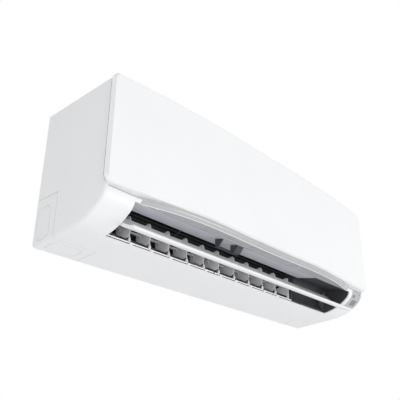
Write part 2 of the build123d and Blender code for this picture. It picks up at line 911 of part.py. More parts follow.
def drain_pan():
    """The trough under the front coil, whose floor is the duct's upper wall."""
    line = Polyline(
        spot(pan_front_depth, pan_tongue_height), spot(pan_front_depth, pan_front_height),
        spot(pan_nose_depth, pan_nose_height), spot(pan_tongue_depth, pan_tongue_height),
    )
    pan = along_x(trace(line.edges(), pan_wall), -outlet_half_width + seam, duct_right - seam)
    for x in (-screw_spacing, 0):
        pan -= rod_y(x, pan_front_depth - wall, pan_front_depth + wall,
                     screw_height, screw_shank_radius + slip)
    return pan


def duct_end_flare():
    """The plain end piece that closes the duct beside the fan motor, with its outer wall."""
    nose = spot(pan_nose_depth, pan_nose_height)
    start = spot(pan_front_depth, pan_front_height)
    tail = spot(floor_front_depth + 4, flare_floor_height)
    run = Line(start, nose)
    line = [run, TangentArc(nose, tail, tangent=run @ 1 - run @ 0)]
    sweep = along_x(trace(line, pan_wall), duct_right + wall + seam, outlet_half_width + wall / 2)
    return sweep + cheek_web(1, wall + slip) - flap_pin_bore(1)


def pan_under(setback):
    """A point just under the drain pan's floor, measured back from its front."""
    fall = (pan_nose_height - pan_front_height) * setback / pan_floor_run
    return spot(pan_front_depth - setback, pan_front_height + fall - pan_wall / 2 - seam)


def duct_brace():
    """The stay under the duct's upper wall, with a thin arm and a bar to its left."""
    foot = pan_front_depth - brace_foot_setback
    heel = pan_front_depth - brace_run
    roof = [pan_under(brace_setback), pan_under(brace_run)]
    face = make_face(Polyline(*roof, spot(heel, brace_bottom), spot(foot, brace_bottom), close=True))
    left = brace_x - brace_width / 2
    stay = along_x(face, left, left + brace_width)
    arm = along_x(face, left - brace_arm_reach, left - brace_arm_reach + brace_arm_width)
    bar = slab(left - brace_arm_reach, left + 1, heel, heel + brace_arm_width,
               brace_bottom, brace_bottom + brace_arm_width)
    return stay.fuse(arm, bar)


# ------------------------------------------------------------------ heat exchanger
def coil_slab(start, end, start_trim, end_trim, x0=coil_left, x1=coil_right):
    """One leg of the coil between two side-view points."""
    run = (Vector(*end) - Vector(*start))
    length = run.length - start_trim - end_trim
    way = run.normalized()
    middle = Vector(*start) + way * (start_trim + length / 2)
    turn = math.degrees(math.atan2(way.Y, way.X))
    face = Pos(middle.X, middle.Y) * Rot(0, 0, turn) * Rectangle(length, coil_thickness)
    return along_x(face, x0, x1)


coil_foot = spot(coil_front_depth, coil_front_bottom)
coil_knee = spot(coil_front_depth, coil_front_top)
coil_apex = spot(coil_apex_depth, coil_apex_height)
coil_heel = spot(coil_rear_depth, coil_rear_height)


def bend_trim(first, corner, last):
    """How far two legs stop short of their shared corner, so that they just miss."""
    run_in = math.atan2(corner[1] - first[1], corner[0] - first[0])
    run_out = math.atan2(last[1] - corner[1], last[0] - corner[0])
    return coil_thickness / 2 * math.tan(abs(run_in - run_out) / 2) + coil_gap


knee_trim = bend_trim(coil_foot, coil_knee, coil_apex)
apex_trim = bend_trim(coil_knee, coil_apex, coil_heel)


def coil_legs(x0, x1):
    """The coil's three legs between two x values."""
    return [
        coil_slab(coil_foot, coil_knee, 0, knee_trim, x0, x1),
        coil_slab(coil_knee, coil_apex, knee_trim, apex_trim, x0, x1),
        coil_slab(coil_apex, coil_heel, apex_trim, 0, x0, x1),
    ]


def coil_end_plates():
    """The folded sheet at each end of the coil, one strip for each leg."""
    plates = []
    for x in (coil_left - coil_plate_thickness, coil_right):
        plates += coil_legs(x, x + coil_plate_thickness)
    return Compound(children=plates)


def return_bend(centre, way):
    """One hairpin of tube outside the end plate, between the coil's two rows."""
    middle = Vector(coil_right + coil_plate_thickness, centre.X, centre.Y)
    across = Vector(0, -way.Y, way.X) * (bend_row_gap / 2)
    start = Plane(origin=middle + across, z_dir=(1, 0, 0))
    ring = start * RegularPolygon(bend_tube_radius, bend_tube_sides)
    return revolve(ring, Axis(middle, across.cross(Vector(1, 0, 0))), 180)


def coil_return_bends():
    """The rows of hairpin bends at the coil's right-hand end."""
    bends = []
    for start, end in ((coil_foot, coil_knee), (coil_knee, coil_apex), (coil_apex, coil_heel)):
        run = Vector(*end) - Vector(*start)
        count = int((run.length - 2 * apex_trim) / bend_pitch) + 1
        way = run.normalized()
        first = (run.length - (count - 1) * bend_pitch) / 2
        for index in range(count):
            bends.append(return_bend(Vector(*start) + way * (first + index * bend_pitch), way))
    return Compound(children=bends)


# ---------------------------------------------------------------------------- pipes
def tube(points, bend, radius):
    """A round pipe along straight runs joined by bends."""
    parts = []
    for edge in FilletPolyline(*points, radius=bend).edges():
        start = edge @ 0
        ring = Plane(origin=start, z_dir=edge % 0) * Circle(radius)
        if edge.geom_type == GeomType.LINE:
            parts.append(extrude(ring, amount=edge.length))
        else:
            spin = Axis(edge.arc_center, (start - edge.arc_center).cross(edge % 0))
            parts.append(revolve(ring, spin, math.degrees(edge.length / bend)))
    return parts[0].fuse(*parts[1:])


def pipe_points(start_height, drop_depth, height):
    """The corners of a refrigerant pipe, from the coil's end to the rear channel."""
    low = underside + height
    high = underside + start_height
    start = coil_right + coil_plate_thickness + bend_row_gap
    x = pipe_drop_x
    return [
        (start, -coil_front_depth, high), (x, -coil_front_depth, high), (x, -drop_depth, high),
        (x, -drop_depth, low), (x, -pipe_depth, low), (pipe_end_x, -pipe_depth, low),
    ]


def union_fitting(height, pipe_radius, radius):
    """A flare nut on a pipe's end, with the threaded end of the joint beyond it."""
    y = -pipe_depth
    z = underside + height
    nut = Plane(origin=(pipe_end_x, y, z), z_dir=(-1, 0, 0)) * RegularPolygon(radius + 1.5, 6)
    body = extrude(nut, amount=union_hex_length)
    start = pipe_end_x - union_hex_length
    return body + rod_x(start - union_length, start, pipe_depth, height, radius)


def drain_spout():
    """The drain's outlet elbow, whose free end takes a hose."""
    z = underside + drain_height
    far = -channel_depth - wall - drain_reach
    run = -pipe_depth + 2
    points = [(drain_bend_x, far, z), (drain_bend_x, run, z), (drain_end_x, run, z)]
    bend = drain_radius + 2
    return tube(points, bend, drain_radius) - tube(points, bend, drain_radius - drain_wall)


def drain_cap():
    """The rubber plug in the rear trough's unused outlet."""
    depth = (tongue_depth + back_plate_depth) / 2
    height = tongue_height + cap_lift
    x = duct_left - wall - slip
    rim = x - cap_plug_length
    plug = rod_x(rim, x, depth, height, cap_plug_radius)
    return plug + rod_x(rim - cap_head_length, rim, depth, height, cap_head_radius)


# ------------------------------------------------------------------- fan and motor
def crossflow_fan():
    """The long fan drum: rows of curved blades between discs."""
    x0 = duct_left + fan_end_gap
    x1 = duct_right - fan_end_gap
    tip = fan_radius
    root = fan_radius - fan_blade_chord
    lean = math.radians(fan_blade_lean)
    start = (tip - fan_blade_thickness, 0)
    end = (root * math.cos(lean), root * math.sin(lean))
    middle = ((start[0] + end[0]) / 2, (start[1] + end[1]) / 2 + fan_blade_sagitta)
    blade = trace(Polyline(start, middle, end).edges(), fan_blade_thickness)
    y, z = spot(fan_depth, fan_height)
    parts = []
    for index in range(fan_blade_count):
        face = Pos(y, z) * Rot(0, 0, index * 360 / fan_blade_count) * blade
        parts.append(along_x(face, x0, x1))
    discs = []
    for index in range(fan_bay_count + 1):
        x = x0 + index * (x1 - x0 - fan_disc_thickness) / fan_bay_count
        discs.append(rod_x(x, x + fan_disc_thickness, fan_depth, fan_height, fan_radius))
    discs.append(rod_x(x1, x1 + fan_hub_length / 2, fan_depth, fan_height, fan_hub_radius))
    body = discs[0].fuse(*discs[1:], *parts)
    reach = fan_disc_thickness + fan_hub_length
    body -= rod_x(x0 - wall, x0 + fan_disc_thickness, fan_depth, fan_height, shaft_radius)
    return body - rod_x(x1 - fan_disc_thickness, x1 + reach, fan_depth, fan_height, shaft_radius)


def fan_shaft():
    """The stub at the fan's left end and the motor's shaft in the fan's hub."""
    left = rod_x(duct_left - 2 * wall - bearing_width, duct_left + fan_end_gap + fan_disc_thickness,
                 fan_depth, fan_height, shaft_radius)
    right = rod_x(duct_right - fan_end_gap - fan_disc_thickness, motor_left + motor_length / 2,
                  fan_depth, fan_height, shaft_radius)
    return Compound(children=[left, right])


def fan_bearing():
    """The bush in its seat that carries the fan's left end."""
    x1 = duct_left - wall - seam
    bush = rod_x(x1 - bearing_width, x1, fan_depth, fan_height, bearing_radius - shaft_slip)
    bore = shaft_radius + shaft_slip
    return bush - rod_x(x1 - 2 * bearing_width, x1 + wall, fan_depth, fan_height, bore)


def fan_motor():
    """The fan's motor: a round can with a raised nose at the shaft's end."""
    x0 = motor_left
    x1 = x0 + motor_length
    can = rod_x(x0, x1, fan_depth, fan_height, motor_radius - 0.3)
    can = chamfer(can.edges(), motor_edge_radius)
    can += rod_x(x0 - motor_nose_length, x0 + wall, fan_depth, fan_height, motor_nose_radius)
    bore = rod_x(x0 - 2 * motor_nose_length, x1 - motor_edge_radius, fan_depth, fan_height,
                 shaft_radius + shaft_slip)
    return can - bore


def motor_clamp():
    """The strap over the motor, down to its foot on the bed behind."""
    x0 = motor_left + (motor_length - clamp_width) / 2
    x1 = x0 + clamp_width
    reach = motor_radius + clamp_thickness
    top = fan_height - cradle_drop
    rear = fan_depth - reach
    bore = rod_x(x0 - wall, x1 + wall, fan_depth, fan_height, motor_radius)
    strap = rod_x(x0, x1, fan_depth, fan_height, reach)
    strap &= slab(x0, x1, rear, fan_depth + reach, top, fan_height + reach)
    foot = slab(x0, x1, rear - clamp_foot, rear + clamp_foot_overlap, top + slip, top + clamp_thickness)
    return strap + foot - bore


# ---------------------------------------------------------------------------- vanes
def vane_side_view():
    """The outline of one vane, with the window that the link passes through."""
    corners = [
        spot(vane_front_depth, vane_front_bottom), spot(vane_rear_depth, vane_rear_bottom),
        spot(vane_rear_depth, vane_rear_top), spot(vane_front_depth - 5, vane_crown),
        spot(vane_front_depth, vane_crown - 2),
    ]
    face = make_face(Polyline(*corners, close=True))
    rear = [v for v in face.vertices() if v.X > -vane_rear_depth - 1]
    face = fillet(rear, vane_corner_radius)
    height = window_top_height - window_bottom_height
    middle = spot((window_rear_depth + window_front_depth) / 2, window_bottom_height + height / 2)
    return face - Pos(*middle) * RectangleRounded(window_run, height, window_corner_radius)


def vane(x):
    """One upright vane, its pivot pin below and its link pin in the window."""
    face = vane_side_view()
    plate = along_x(face, x - vane_thickness / 2, x + vane_thickness / 2)
    boss = rod_z(x, vane_axis_depth, post_height + running_gap, vane_front_bottom + 3, vane_boss_radius)
    pin = rod_z(x, vane_axis_depth, post_height - vane_pin_length, vane_front_bottom, vane_pin_radius)
    crank = rod_z(x, link_depth, window_bottom_height - 1, window_top_height + 1, link_pin_radius)
    return plate.fuse(boss, pin, crank)


def vane_link(first):
    """The flat bar that joins one bank of vanes and snaps forward onto their pins."""
    last = first + (vanes_per_bank - 1) * vane_pitch
    half = link_width / 2
    low = link_height - link_thickness
    high = link_height + link_thickness
    bar = slab(first - link_width, last + link_width, link_depth - half, link_depth + half,
               link_height - link_thickness / 2, link_height + link_thickness / 2)
    cuts = []
    for index in range(vanes_per_bank):
        x = first + index * vane_pitch
        cuts.append(rod_z(x, link_depth, low, high, link_pin_radius + running_gap))
        mouth = link_mouth / 2
        cuts.append(slab(x - mouth, x + mouth, link_depth, link_depth + link_width, low, high))
    return bar.cut(*cuts)


def vane_base(first, x0, x1, fin_x=None):
    """The strip on the duct floor with a post and a front foot for every vane."""
    low = wall / 2 + base_lift
    high = low + base_thickness
    nose = floor_front_depth + base_nose
    end = math.radians(base_end_slope)
    under = floor_line(nose, end, low)
    over = floor_line(nose, end, high)
    front = Line(under[0] @ 0, over[0] @ 0)
    rear = Line(under[1] @ 1, over[1] @ 1)
    body = along_x(make_face([*under, *over, front, rear]), x0, x1)
    post_foot = floor_height(vane_axis_depth - vane_boss_radius) + low
    parts = []
    for index in range(vanes_per_bank):
        x = first + index * vane_pitch
        post = rod_z(x, vane_axis_depth, post_foot, post_height, vane_boss_radius)
        foot = slab(x - foot_width / 2, x + foot_width / 2, foot_rear_depth, foot_front_depth,
                    foot_bottom, floor_front_height + low)
        parts += [post, foot]
    if fin_x is not None:
        thick = vane_thickness / 2
        fin = along_x(vane_side_view(), fin_x - thick, fin_x + thick)
        stem = slab(fin_x - thick, fin_x + thick, vane_axis_depth - vane_boss_radius, vane_front_depth,
                    post_foot, vane_front_bottom + 6)
        parts += [fin, stem]
    body = body.fuse(*parts)
    for index in range(vanes_per_bank):
        x = first + index * vane_pitch
        body -= rod_z(x, vane_axis_depth, post_height - vane_pin_length - 0.2, post_height + 1,
                      vane_pin_radius + running_gap)
    return body


def stepper(x0, depth, height):
    """A small stepper motor with its pair of fixing ears at its left face."""
    body = rod_x(x0, x0 + stepper_length, depth, height, stepper_radius)
    half = stepper_ear_height / 2
    near = depth - stepper_ear_reach
    far = depth + stepper_ear_reach
    return body + slab(x0, x0 + stepper_ear_thickness, near, far, height - half, height + half)


def vane_motor(side):
    """The stepper outside one of the duct's end walls, on the link's line."""
    left = duct_left - wall - seam - stepper_length
    right = duct_right + wall + seam
    if side < 0:
        nose = rod_x(left + stepper_length, duct_left + wall, link_depth, link_height, vane_pin_radius)
        return stepper(left, link_depth, link_height) + nose
    nose = rod_x(duct_right - wall, right, link_depth, link_height, vane_pin_radius)
    return stepper(right, link_depth, link_height) + nose


# ------------------------------------------------------------------------- filters
def filter_line():
    """The filter's path: up in front of the coil, then back over its top."""
    shoulder = filter_shoulder_radius
    low = spot(filter_front_depth, filter_bottom_height)
    turn = spot(filter_front_depth, filter_shoulder_height)
    half = math.sqrt(0.5)
    middle = spot(filter_front_depth - shoulder * (1 - half), filter_shoulder_height + shoulder * half)
    top = spot(filter_front_depth - shoulder, filter_shoulder_height + shoulder)
    end = spot(filter_rear_depth, filter_shoulder_height + shoulder)
    return [Line(low, turn), ThreePointArc(turn, middle, top), Line(top, end)]


def air_filter(x0, x1):
    """A removable dust filter: a curved frame with ribs over a fine mesh sheet."""
    section = trace(filter_line(), filter_thickness)
    sheet = along_x(trace(filter_line(), filter_membrane), x0 + 1, x1 - 1)
    bars = []
    pitch = (x1 - x0 - filter_frame) / (filter_rib_count + 1)
    for index in range(filter_rib_count + 2):
        width = filter_frame if index in (0, filter_rib_count + 1) else filter_frame / 2
        x = x0 + index * pitch + (filter_frame - width) / 2
        bars.append(along_x(section, x, x + width))
    shelf = along_x(section, x0, x1)
    high = filter_shoulder_height + filter_shoulder_radius
    middle = (filter_bottom_height + filter_shoulder_height) / 2
    near = filter_front_depth - filter_frame
    far = filter_front_depth + filter_frame
    for height in (filter_bottom_height, middle, filter_shoulder_height - filter_frame):
        bars.append(shelf & slab(x0, x1, near, far, height, height + filter_frame / 2))
    rear = filter_rear_depth + filter_frame
    bars.append(shelf & slab(x0, x1, filter_rear_depth, rear, high - filter_frame, high + filter_frame))
    return sheet.fuse(*bars)


# ----------------------------------------------------------------- electrical parts
def box_block(inset, depth0, depth1):
    """A block over the electrical box's outline, moved in by inset, between two depths."""
    return slab(box_left + inset, box_left + box_width - inset, depth0, depth1,
                box_bottom + inset, box_bottom + box_height - inset)


def control_box():
    """The tray of the electrical box, open towards the front."""
    back = box_front_depth - box_depth
    tray = box_block(0, back, box_front_depth - box_wall)
    return tray - box_block(box_wall, back + box_wall, box_front_depth)


def control_box_cover():
    """The lid of the electrical box, with a lip that sits inside the tray."""
    rim = box_front_depth - box_wall
    inset = box_wall + 2 * seam
    lid = box_block(0, rim + slip, box_front_depth)
    lip = box_block(inset, rim - 3 * box_wall, rim + 2 * slip)
    return lid + (lip - box_block(2 * inset, rim - 4 * box_wall, rim + slip))


def control_board():
    """The circuit board with its transformer, capacitor and relays standing on it."""
    back = box_front_depth - box_depth + box_wall + board_stand_off
    face = back + board_thickness
    left = box_left + box_wall + board_side_gap
    right = box_left + box_width - box_wall - board_side_gap
    low = box_bottom + box_wall + board_lift
    high = box_bottom + box_height - box_wall - board_side_gap
    parts = [slab(left, right, back, face, low, high)]
    x = left + board_margin
    z = high - board_margin - transformer_height
    parts.append(slab(x, x + transformer_width, face, face + transformer_rise, z, z + transformer_height))
    centre = right - board_margin - capacitor_radius
    parts.append(rod_y(centre, face, face + capacitor_rise, (low + high) / 2, capacitor_radius))
    for index in range(relay_count):
        x = left + board_margin + index * relay_pitch
        z = low + board_margin
        parts.append(slab(x, x + relay_width, face, face + relay_rise, z, z + relay_height))
    return parts[0].fuse(*parts[1:])


def terminal_block():
    """The block that takes the supply wires, with a screw well and a slot for each."""
    back = box_front_depth - box_depth + box_wall + slip
    face = back + terminal_depth
    low = box_bottom + box_wall + slip
    x0 = box_left + (box_width - terminal_count * terminal_pitch) / 2
    high = low + terminal_height
    floor = face - terminal_well_depth
    half = terminal_slot / 2
    body = slab(x0, x0 + terminal_count * terminal_pitch, back, face, low, high)
    for index in range(terminal_count):
        x = x0 + (index + 0.5) * terminal_pitch
        body -= rod_y(x, floor, face + wall, high - 2 * terminal_well_radius, terminal_well_radius)
        body -= slab(x - half, x + half, floor, face + wall, low - wall, low + terminal_slot)
    return body


def cord_clamp():
    """The bar below the box that grips the supply cord's entry."""
    x = box_left + box_width / 2
    depth = box_front_depth - box_depth
    low = box_bottom - cord_clamp_height
    half = cord_clamp_width / 2
    bar = slab(x - half, x + half, depth, depth + cord_clamp_depth, low, box_bottom - slip)
    return bar - rod_y(x, depth - wall, depth + cord_clamp_depth + wall, low, cord_radius)


def skin_normal(angle):
    """The outward direction of the chin's skin, where its slope is angle."""
    return Vector(0, -math.sin(angle), -math.cos(angle))


def chin_spot(x, angle):
    """A point on the outside of the chin."""
    y, z = chin(angle)
    return Vector(x, y, z)


def display_lamp_rods(grow=0.0):
    """The round lamps in the upper part of the display window."""
    angle = math.radians(display_lamp_angle)
    over = 1 if grow else 0
    rods = []
    for index in range(lamp_count):
        at = chin_spot(display_left + lamp_start + index * lamp_pitch, angle)
        inside = Plane(origin=at - skin_normal(angle) * (wall + lamp_tail), z_dir=skin_normal(angle))
        rods.append(extrude(inside * Circle(lamp_radius + grow), amount=wall + lamp_tail + over))
    return rods


def receiver_rod(grow=0.0):
    """The smoked pill over the signal receiver, set square to the skin."""
    angle = math.radians(receiver_angle)
    over = 1 if grow else -receiver_recess
    normal = skin_normal(angle)
    at = chin_spot(display_left + receiver_start, angle)
    inside = Plane(origin=at - normal * (wall + lamp_tail), x_dir=(1, 0, 0), z_dir=normal)
    width = receiver_width + 2 * grow
    face = RectangleRounded(width, receiver_height + 2 * grow, receiver_corner_radius)
    return extrude(inside * face, amount=wall + lamp_tail + over)


def display_cover(shell):
    """The display window's strip of skin, with its lamp holes and receiver hole."""
    cover = shell & display_zone()
    return cover.cut(*display_lamp_rods(slip), receiver_rod(slip))


def display_board():
    """The narrow board behind the display window, with the receiver's can."""
    angle = math.radians((display_lamp_angle + receiver_angle) / 2)
    normal = skin_normal(angle)
    middle = (display_left + display_right) / 2
    at = chin_spot(middle, angle) - normal * (wall + display_board_drop)
    plane = Plane(origin=at, x_dir=(1, 0, 0), z_dir=normal)
    width = display_width - 2 * display_board_side_gap
    board = extrude(plane * Rectangle(width, display_board_height), amount=board_thickness)
    can = plane.offset(board_thickness) * Rectangle(receiver_can_width, receiver_can_height)
    return board + extrude(can, amount=receiver_can_rise)


def flap_motor():
    """The stepper beside the right-hand cheek, geared to the flap's pin."""
    x0 = outlet_half_width + flap_pin_length + 4 * seam
    return stepper(x0, flap_pivot_depth - flap_motor_setback, flap_pivot_height + flap_motor_rise)


def manual_button():
    """The round push button and the collar that keeps it behind the casing."""
    skin = casing_depth - wall
    cap = rod_y(button_x, skin - button_stem, casing_depth + button_proud, button_height, button_radius)
    near = skin - button_collar_gap
    far = near - button_collar_thickness
    return cap + rod_y(button_x, far, near, button_height, button_radius + button_collar)


# ----------------------------------------------------------- small parts and plate
def casing_screws():
    """The screws that hold the casing to the chassis, behind the panel."""
    screws = []
    for x in (-screw_spacing, 0, screw_spacing):
        seat = casing_depth + running_gap
        head = rod_y(x, seat, casing_depth + screw_head_height, screw_height, screw_head_radius)
        shank = rod_y(x, pan_front_depth - wall, seat, screw_height, screw_shank_radius)
        screws.append(head + shank)
    return Compound(children=screws)


def coil_sensor():
    """The temperature sensor's bulb and its clip on the coil's end plate."""
    x = coil_right + coil_plate_thickness + seam
    depth = coil_front_depth - sensor_setback
    height = coil_front_top - sensor_drop
    half = sensor_clip / 2
    bulb = rod_x(x, x + sensor_length, depth, height, sensor_radius)
    return bulb + slab(x, x + sensor_clip, depth - half, depth + half, height - half, height + half)


def wall_plate():
    """The folded steel plate that is screwed to the wall, with its two hooks."""
    low = body_height / 2 - plate_height / 2
    high = low + plate_height
    half = plate_width / 2
    sheet = slab(-half, half, 0, plate_thickness, low, high)
    for height in (low, high - plate_thickness):
        sheet += slab(-half, half, 0, plate_flange, height, height + plate_thickness)
    middle = body_height / 2
    for side_x in (-1, 1):
        for side_z in (-1, 1):
            x = side_x * plate_hole_spacing_x / 2
            z = middle + side_z * plate_hole_spacing_z / 2
            sheet -= rod_y(x, -1, plate_thickness + 1, z, plate_hole_radius)
        x = side_x * hook_spacing / 2
        x0 = x - hook_width / 2
        x1 = x0 + hook_width
        foot = high - plate_thickness
        sheet += slab(x0, x1, 0, hook_reach, foot, high)
        sheet += slab(x0, x1, hook_reach - plate_thickness, hook_reach, foot, hook_top)
        sheet -= rod_y(x, -1, plate_thickness + 1, middle, plate_relief_radius)
    for x in (-plate_hole_spacing_x / 8, plate_hole_spacing_x / 8):
        slot = Plane.XZ.offset(-1) * Pos(x, 0) * SlotOverall(4 * hook_rise, hook_rise / 2, rotation=90)
        sheet -= extrude(slot, amount=plate_thickness + 2)
    return sheet


def save(name, shape):
    """Write one named piece."""
    shape.label = name
    export_step(shape, os.path.join("parts", name + ".step"))


def main():
    """Build every piece and write it out."""
    os.makedirs("parts", exist_ok=True)
    shell = casing_blank()
    save("front_casing", front_casing(shell))
    save("left_pipe_cover", pipe_cover(shell, -1, left_cover_length))
    save("right_pipe_cover", pipe_cover(shell, 1, right_cover_length))
    save("display_cover", display_cover(shell))
    save("receiver_lens", receiver_rod())
    save("status_lamps", Compound(children=display_lamp_rods()))
    save("display_board", display_board())
    save("front_panel", front_panel())
    save("main_flap", main_flap())
    save("flap_motor", flap_motor())
    save("rear_housing", rear_housing())
    save("drain_pan", drain_pan())
    save("duct_end_flare", duct_end_flare())
    save("duct_brace", duct_brace())
    for name, leg in zip(("coil_front", "coil_top", "coil_rear"), coil_legs(coil_left, coil_right)):
        save(name, leg)
    save("coil_end_plates", coil_end_plates())
    save("coil_return_bends", coil_return_bends())
    save("coil_sensor", coil_sensor())
    gas_route = pipe_points(gas_start_height, gas_drop_depth, gas_height)
    save("gas_pipe", tube(gas_route, pipe_bend_radius, gas_radius))
    liquid_route = pipe_points(liquid_start_height, liquid_drop_depth, liquid_height)
    save("liquid_pipe", tube(liquid_route, pipe_bend_radius, liquid_radius))
    save("gas_union", union_fitting(gas_height, gas_radius, gas_union_radius))
    save("liquid_union", union_fitting(liquid_height, liquid_radius, liquid_union_radius))
    save("drain_spout", drain_spout())
    save("drain_cap", drain_cap())
    save("crossflow_fan", crossflow_fan())
    save("fan_shaft", fan_shaft())
    save("fan_bearing", fan_bearing())
    save("fan_motor", fan_motor())
    save("motor_clamp", motor_clamp())
    left = left_bank_start
    right = right_bank_start
    last = (vanes_per_bank - 1) * vane_pitch
    save("vane_base_left", vane_base(left, duct_left + seam, left + last + vane_pitch / 2))
    save("vane_base_right", vane_base(right, right - vane_pitch / 3, duct_right - seam, end_fin_x))
    for index in range(2 * vanes_per_bank):
        bank = left if index < vanes_per_bank else right
        save("vane_" + str(index + 1), vane(bank + (index % vanes_per_bank) * vane_pitch))
    save("vane_link_left", vane_link(left))
    save("vane_link_right", vane_link(right))
    save("vane_motor_left", vane_motor(-1))
    save("vane_motor_right", vane_motor(1))
    save("left_filter", air_filter(filter_left, filter_middle - filter_gap / 2))
    save("right_filter", air_filter(filter_middle + filter_gap / 2, filter_right))
    save("control_box", control_box())
    save("control_box_cover", control_box_cover())
    save("control_board", control_board())
    save("terminal_block", terminal_block())
    save("cord_clamp", cord_clamp())
    save("manual_button", manual_button())
    save("casing_screws", casing_screws())
    save("wall_plate", wall_plate())


main()
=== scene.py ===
"""Looks for the indoor unit of a split air conditioner: materials, pieces, camera and light."""
import json
import math

import bmesh
import bpy
from mathutils import Matrix, Vector
from mathutils.bvhtree import BVHTree


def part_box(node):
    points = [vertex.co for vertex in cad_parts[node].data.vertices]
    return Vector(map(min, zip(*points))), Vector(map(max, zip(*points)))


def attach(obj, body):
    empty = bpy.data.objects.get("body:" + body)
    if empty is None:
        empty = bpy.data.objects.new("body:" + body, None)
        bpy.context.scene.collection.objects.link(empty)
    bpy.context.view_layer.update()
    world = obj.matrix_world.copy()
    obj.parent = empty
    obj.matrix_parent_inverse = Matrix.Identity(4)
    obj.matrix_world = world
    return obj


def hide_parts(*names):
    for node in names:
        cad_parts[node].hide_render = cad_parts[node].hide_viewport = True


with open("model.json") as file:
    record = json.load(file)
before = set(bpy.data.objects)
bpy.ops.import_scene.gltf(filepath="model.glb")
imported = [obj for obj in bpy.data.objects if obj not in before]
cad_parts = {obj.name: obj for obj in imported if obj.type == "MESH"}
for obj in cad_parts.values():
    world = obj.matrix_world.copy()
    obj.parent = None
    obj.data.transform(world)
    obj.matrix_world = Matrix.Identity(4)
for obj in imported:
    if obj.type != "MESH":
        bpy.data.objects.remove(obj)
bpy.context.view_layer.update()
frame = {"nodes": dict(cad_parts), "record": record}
nodes = frame["nodes"]
record = frame["record"]
MM = 0.001


# ------------------------------------------------------------------ shader helpers
def linear(hex_colour):
    """An sRGB hex colour as the linear RGBA that shaders take."""
    channels = [int(hex_colour[i:i + 2], 16) / 255 for i in (1, 3, 5)]
    return [c / 12.92 if c <= 0.04045 else ((c + 0.055) / 1.055) ** 2.4 for c in channels] + [1.0]


def add(tree, kind, options=None, **sockets):
    """Add one shader node, set its options, and fill its sockets with values or links."""
    made = tree.nodes.new("ShaderNode" + kind)
    for name, value in (options or {}).items():
        setattr(made, name, value)
    for name, value in sockets.items():
        socket = made.inputs[name.replace("_", " ")]
        if isinstance(value, bpy.types.NodeSocket):
            tree.links.new(value, socket)
        else:
            socket.default_value = value
    return made


def blank(name):
    """A new material, its emptied node tree, and the surface's place in the object's space."""
    made = bpy.data.materials.new(name)
    made.use_nodes = True
    tree = made.node_tree
    tree.nodes.clear()
    place = add(tree, "TexCoord").outputs["Object"]
    return made, tree, place


def finish_with(tree, shader):
    """Send a shader to the material's output."""
    add(tree, "OutputMaterial", Surface=shader.outputs[0])


def between(tree, factor, low, high):
    """A colour that goes from one hex value to another with a factor."""
    ramp = add(tree, "ValToRGB", Fac=factor)
    ramp.color_ramp.elements[0].color = linear(low)
    ramp.color_ramp.elements[1].color = linear(high)
    return ramp.outputs["Color"]


def per_mm(size):
    """A pattern's scale for a real size in millimetres."""
    return 1 / (size * MM)


cloud_mm = 120
drawn_pitch_mm = 3


def ridges(tree, along, pitch_mm):
    """Straight ridges across a direction: 0 between them, and half at their tops."""
    phase = add(tree, "Math", {"operation": "MULTIPLY"}, Value=along)
    phase.inputs[1].default_value = per_mm(pitch_mm)
    wave = add(tree, "Math", {"operation": "PINGPONG"}, Value=phase.outputs["Value"])
    wave.inputs[1].default_value = 0.5
    return wave.outputs["Value"]


def shine_about(tree, factor, roughness, spread):
    """A roughness that varies a little with a factor."""
    low, high = roughness - spread, roughness + spread
    return add(tree, "MapRange", Value=factor, To_Min=low, To_Max=high).outputs["Result"]


def relief_of(tree, height, strength, depth_mm):
    """A normal with the relief of a height pattern, of a depth in millimetres."""
    made = add(tree, "Bump", Strength=strength, Distance=depth_mm * MM, Height=height)
    return made.outputs["Normal"]


def moulded(name, low, high, roughness, grain_mm, relief_mm, coat=0.0):
    """Moulded plastic: faint clouding of its colour, and the mould's grain as relief.

    Real grain is 0.1 to 0.5 mm; it is drawn coarser, so that it shows at all.
    """
    made, tree, place = blank(name)
    cloud_scale, grain_scale = per_mm(cloud_mm), per_mm(grain_mm)
    cloud = add(tree, "TexNoise", Vector=place, Scale=cloud_scale, Detail=2.0).outputs["Fac"]
    grain = add(tree, "TexNoise", Vector=place, Scale=grain_scale, Detail=1.0).outputs["Fac"]
    shader = add(
        tree, "BsdfPrincipled", Base_Color=between(tree, cloud, low, high),
        Roughness=shine_about(tree, cloud, roughness, 0.03), IOR=1.53, Coat_Weight=coat,
        Coat_Roughness=0.08, Normal=relief_of(tree, grain, 0.5, relief_mm),
    )
    finish_with(tree, shader)
    return made


# ----------------------------------------------------------------------- materials
def casing_abs_and_bevel_shade():
    """White ABS with a fine spark-eroded grain: satin, with soft highlights; as a film on the
    panel's bevel its greyer tone is painted shade.
    """
    return moulded("casing_abs_and_bevel_shade", "#E6E7E9", "#EBECED", 0.4, 3.0, 0.03)


def panel_abs():
    """Polished white ABS: smoother than the casing, so lights show as soft streaks."""
    return moulded("panel_abs", "#EDEEEF", "#F1F2F3", 0.3, 6.0, 0.01, coat=0.15)


def charcoal_abs_and_gap_shadow():
    """Charcoal ABS with a coarse matt grain: the dark of the chassis; on the strips between the
    vane feet it is painted shadow.
    """
    return moulded("charcoal_abs_and_gap_shadow", "#3C3C42", "#48484E", 0.6, 2.5, 0.06)


def duct_abs():
    """Blue-grey ABS of the drain pan, matt and slightly cloudy."""
    return moulded("duct_abs", "#DADAE3", "#E2E2EA", 0.5, 3.0, 0.03)


def vane_pp():
    """White polypropylene of the vanes: the whitest plastic, with a waxy half gloss."""
    return moulded("vane_pp", "#F8F8F9", "#FBFBFC", 0.42, 3.0, 0.02)


